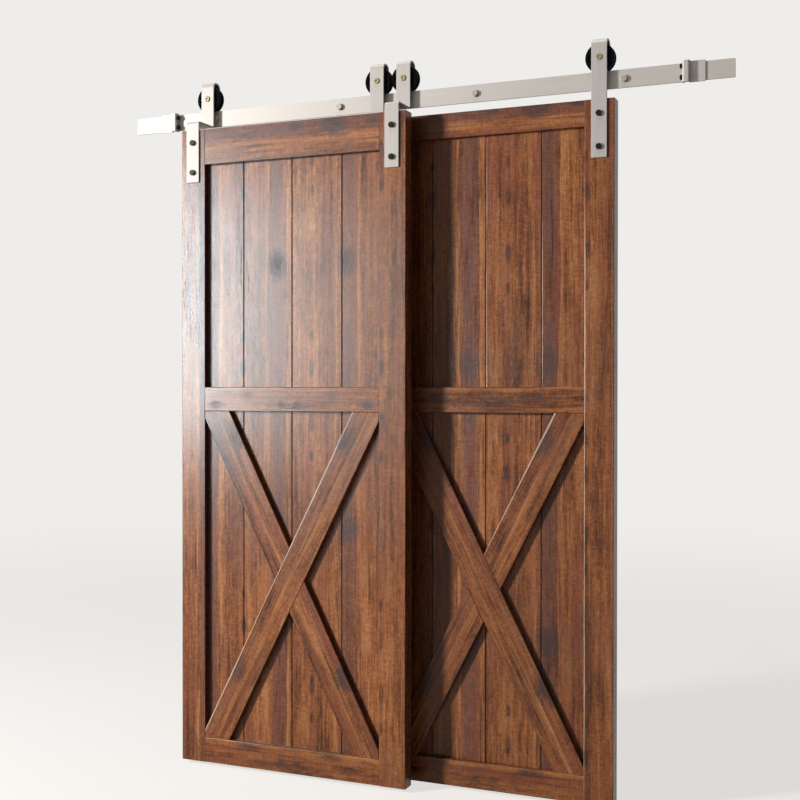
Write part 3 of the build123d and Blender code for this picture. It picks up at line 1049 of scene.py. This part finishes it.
@dataclass
class Hangers:
    """The two hangers of one door: straps, wheels, bearings, axles and the bolts in the door."""

    name: str
    middle: float
    span: float = 0.733
    axle_height: float = 0.0678
    bolt_heights: Pair = (-0.101, -0.201)

    def axle_places(self) -> dict[str, Pair]:
        """Return X and Z of both axles, by side."""
        half = self.span / 2
        return {"left": (self.middle - half, self.axle_height), "right": (self.middle + half, self.axle_height)}

    def dress(self) -> None:
        """Give every piece of the hangers its finish."""
        strap_steel = STRAP_STEEL.dress(f"{STEEL_SLOT}_{self.name}_straps", Brushing.UPRIGHT)
        axles = self.axle_places()
        for side, axle in axles.items():
            stem = f"{self.name}_{side}"
            cover(f"{stem}_strap", strap_steel)
            cover(f"{stem}_wheel", SATIN_BLACK.dress(f"{stem}_wheel", [axle]))
            cover(f"{stem}_bearing", BEARING_STEEL.dress(f"{stem}_bearing", [axle]))
            cover(f"{stem}_axle_bolt", BRASS.dress(f"{stem}_axle_bolt", [axle]))
            cover(f"{stem}_axle_nut", BRASS.dress(f"{stem}_axle_nut", [axle]))
        for node in ("inner_races", "axle_spacers"):
            cover(f"{self.name}_{node}", BEARING_STEEL.dress(f"{self.name}_{node}", list(axles.values())))
        bolts = [(x, z) for x, _ in axles.values() for z in self.bolt_heights]
        for node in ("door_bolts", "door_nuts"):
            cover(f"{self.name}_{node}", BLACK_OXIDE.dress(f"{self.name}_{node}", bolts))


@dataclass(frozen=True)
class Lamp:
    """One area lamp. It shines on the pieces whose finish starts with only, except those whose finish it spares."""

    name: str
    place: Place
    width: float
    height: float
    power: float
    colour: Colour
    shine: Shine
    only: str = ""
    spares: tuple[str, ...] = ()

    def hang(self, aim: Vector) -> None:
        """Make the lamp.

        Args:
            aim: The point that it is turned towards.
        """
        data = bpy.data.lights.new(self.name, "AREA")
        data.shape = "RECTANGLE"
        data.size, data.size_y = self.width, self.height
        data.energy = self.power
        data.color = self.colour
        data.cycles.use_multiple_importance_sampling = self.shine is Shine.BOTH
        lamp = bpy.data.objects.new(self.name, data)
        lamp.location = self.place
        lamp.rotation_mode = "QUATERNION"
        lamp.rotation_quaternion = (Vector(self.place) - aim).to_track_quat("Z", "Y")
        bpy.context.scene.collection.objects.link(lamp)
        lamp.visible_diffuse, lamp.visible_glossy = self.shine.value
        lamp.light_linking.receiver_collection = self._lit_pieces()

    def _lit_pieces(self) -> bpy.types.Collection:
        """Collect the pieces that the lamp shines on.

        Returns:
            The collection, which the lamp's light is linked to.
        """
        lit = bpy.data.collections.new(f"{self.name}_pieces")
        for piece in bpy.context.scene.objects:
            if piece.type != "MESH":
                continue
            slot = piece.material_slots[0].name if piece.material_slots else ""
            if slot.startswith(self.only) and not slot.startswith(self.spares):
                lit.objects.link(piece)
        return lit


DAYLIGHT: Colour = (1.0, 0.965, 0.92)
COOL: Colour = (0.66, 0.91, 1.0)
WHITE: Colour = (1.0, 0.985, 0.96)
WARM: Colour = (1.0, 0.90, 0.82)
FRONT_WOOD = f"{WOOD_SLOT}_front"
REAR_WOOD = f"{WOOD_SLOT}_rear"

# Window lights the body of the wood, of the small parts and of the floor, and back lights the wood from behind.
# Varnish, haze and gleam make the sheen on the boards and glint that of the small parts. Side and sky light the steel.
LAMPS = (
    Lamp("window", (-3.38, -3.35, 0.30), 0.55, 0.80, 300.0, DAYLIGHT, Shine.BODY, spares=(STEEL_SLOT,)),
    Lamp("glint", (-2.90, -3.55, 0.10), 1.40, 1.60, 80.0, DAYLIGHT, Shine.GLOSS, spares=(STEEL_SLOT, WOOD_SLOT)),
    Lamp("varnish", (-3.17, -3.50, -0.37), 0.90, 1.80, 420.0, COOL, Shine.GLOSS, only=FRONT_WOOD),
    Lamp("haze", (-2.15, -3.90, -0.50), 1.10, 1.80, 62.0, WARM, Shine.GLOSS, only=FRONT_WOOD),
    Lamp("gleam", (-3.36, -3.40, -0.60), 0.90, 1.80, 620.0, WHITE, Shine.GLOSS, only=REAR_WOOD),
    Lamp("back", (-2.20, 4.00, 0.20), 1.40, 1.60, 190.0, DAYLIGHT, Shine.BODY, only=WOOD_SLOT),
    Lamp("side", (-5.20, -3.75, 0.75), 0.65, 1.15, 585.0, WHITE, Shine.BOTH, only=STEEL_SLOT),
    Lamp("sky", (-0.40, -0.60, 3.60), 3.00, 1.20, 104.0, WHITE, Shine.BOTH, only=STEEL_SLOT),
)


@dataclass
class Studio:
    """Pale floor and background, lamps, and the camera at the photograph's place."""

    lamps: tuple[Lamp, ...] = LAMPS
    lamp_aim: Place = (-0.10, -0.10, -0.90)
    pale: Colour = (0.86, 0.845, 0.825)
    fill_strength: float = 0.07
    floor_height: float = -2.205
    floor_size: float = 80.0
    floor_fade: Pair = (1.2, 9.0)
    floor_glow_near: float = 0.68
    floor_glow_strength: float = 1.20
    floor_bounce: float = 0.40
    camera_place: Place = (1.5372, -3.6957, -0.9364)
    yaw: float = 23.142
    pitch: float = -0.449
    roll: float = 0.042
    lens: float = 55.018
    sensor_width: float = 36.0

    def build(self) -> None:
        """Build the camera, the world, the floor and the lamps."""
        self._camera()
        self._world()
        self._floor()
        for lamp in self.lamps:
            lamp.hang(Vector(self.lamp_aim))
        bpy.context.scene.view_settings.view_transform = "Standard"

    def _camera(self) -> None:
        """Stand the camera where the photograph was taken from."""
        yaw, pitch, roll = (math.radians(angle) for angle in (self.yaw, self.pitch, self.roll))
        forward = Vector((-math.sin(yaw) * math.cos(pitch), math.cos(yaw) * math.cos(pitch), math.sin(pitch)))
        right = Vector((math.cos(yaw), math.sin(yaw), 0.0))
        up = right.cross(forward)
        rolled_right = right * math.cos(roll) + up * math.sin(roll)
        rolled_up = up * math.cos(roll) - right * math.sin(roll)
        data = bpy.data.cameras.new("camera")
        data.lens = self.lens
        data.sensor_width = self.sensor_width
        camera = bpy.data.objects.new("camera", data)
        turn = Matrix((rolled_right, rolled_up, -forward)).transposed().to_4x4()
        camera.matrix_world = Matrix.Translation(self.camera_place) @ turn
        bpy.context.scene.collection.objects.link(camera)
        bpy.context.scene.camera = camera

    def _world(self) -> None:
        """Make a pale world, which lights little but shows as the background to the camera and in gloss."""
        world = bpy.data.worlds.new("studio")
        world.use_nodes = True
        bpy.context.scene.world = world
        bench = NodeBench(world.node_tree)
        strength = bench.seen_directly() * (1.0 - self.fill_strength) + self.fill_strength
        sky = bench.node("ShaderNodeBackground", None, {"Color": (*self.pale, 1.0), "Strength": strength})
        bench.node("ShaderNodeOutputWorld", None, {"Surface": sky})

    def _floor(self) -> None:
        """Lay the pale floor just below the doors, which takes their shadow and fades into the background."""
        half = self.floor_size / 2
        corners = [(-half, -half), (half, -half), (half, half), (-half, half)]
        mesh = bpy.data.meshes.new("floor")
        mesh.from_pydata([(x, y, self.floor_height) for x, y in corners], [], [(0, 1, 2, 3)])
        floor = bpy.data.objects.new("floor", mesh)
        bpy.context.scene.collection.objects.link(floor)
        paint = Paint("floor")
        x, y, _ = paint.place()
        far = (x * x + y * y).root().ease(*self.floor_fade)
        seen = paint.seen_directly()
        bounce = tuple(part * self.floor_bounce for part in self.pale)
        plain = paint.node("ShaderNodeBsdfDiffuse", None, {"Color": paint.blend(seen, bounce, self.pale)})
        strength = far * (1.0 - self.floor_glow_strength) + self.floor_glow_strength
        glow = paint.node("ShaderNodeEmission", None, {"Color": (*self.pale, 1.0), "Strength": strength})
        share = seen * (far * (1.0 - self.floor_glow_near) + self.floor_glow_near)
        mixed = paint.node("ShaderNodeMixShader", None, {0: share, 1: plain, 2: glow})
        paint.node("ShaderNodeOutputMaterial", None, {"Surface": mixed})
        mesh.materials.append(paint.material)


# Each door lists the boards that get the painted highlight on their front left edge.
DOORS = (
    Door("front", -0.368, 1.672, rising_whole=True, seed=4.0, highlit_boards=("brace_whole",)),
    Door(
        "rear",
        0.272,
        1.343,
        rising_whole=False,
        seed=61.0,
        highlit_boards=("stile_right", "brace_upper"),
        highlit_above_mid_rail=("plank_3", "plank_4"),
    ),
)


def main() -> None:
    """Dress every sub-assembly and build the studio round them."""
    logging.basicConfig(level=logging.INFO, format="%(message)s")
    WallFrame().dress()
    for door in DOORS:
        door.dress()
        Hangers(door.name, door.middle).dress()
    Studio().build()


if __name__ == "__main__":
    main()
